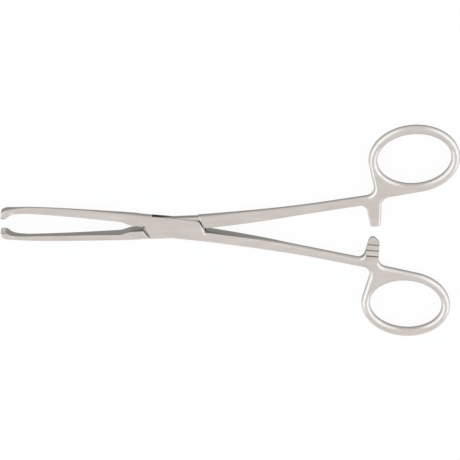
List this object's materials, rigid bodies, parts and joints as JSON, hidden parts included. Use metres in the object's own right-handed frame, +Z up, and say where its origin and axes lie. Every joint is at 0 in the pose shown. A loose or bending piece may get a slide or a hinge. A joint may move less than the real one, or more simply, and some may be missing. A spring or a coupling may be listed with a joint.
{
  "type": "allis forceps",
  "caption": "Straight tissue forceps with a box lock, finger rings, a ratchet and toothed claw tips, in satin steel.",
  "frame": {"origin": "on the pivot axis, in the plane of the box lock's underside", "axes": "+X towards the finger rings, +Y across towards the plain half's ring, +Z up along the pivot"},
  "size_m": [0.1886, 0.0964, 0.0056],
  "materials": {
    "satin_steel": "satin",
    "rivet_steel": "ground satin"
  },
  "bodies": {
    "slotted_half": {"box_half": "satin_steel", "pivot_pin": "rivet_steel"},
    "plain_half": {"male_half": "satin_steel"}
  },
  "joints": [
    {"name": "pivot", "type": "hinge", "parent": "slotted_half", "child": "plain_half", "pos_m": [0, 0, 0.0028], "axis": [0, 0, 1], "range_deg": [-5, 42]}
  ]
}
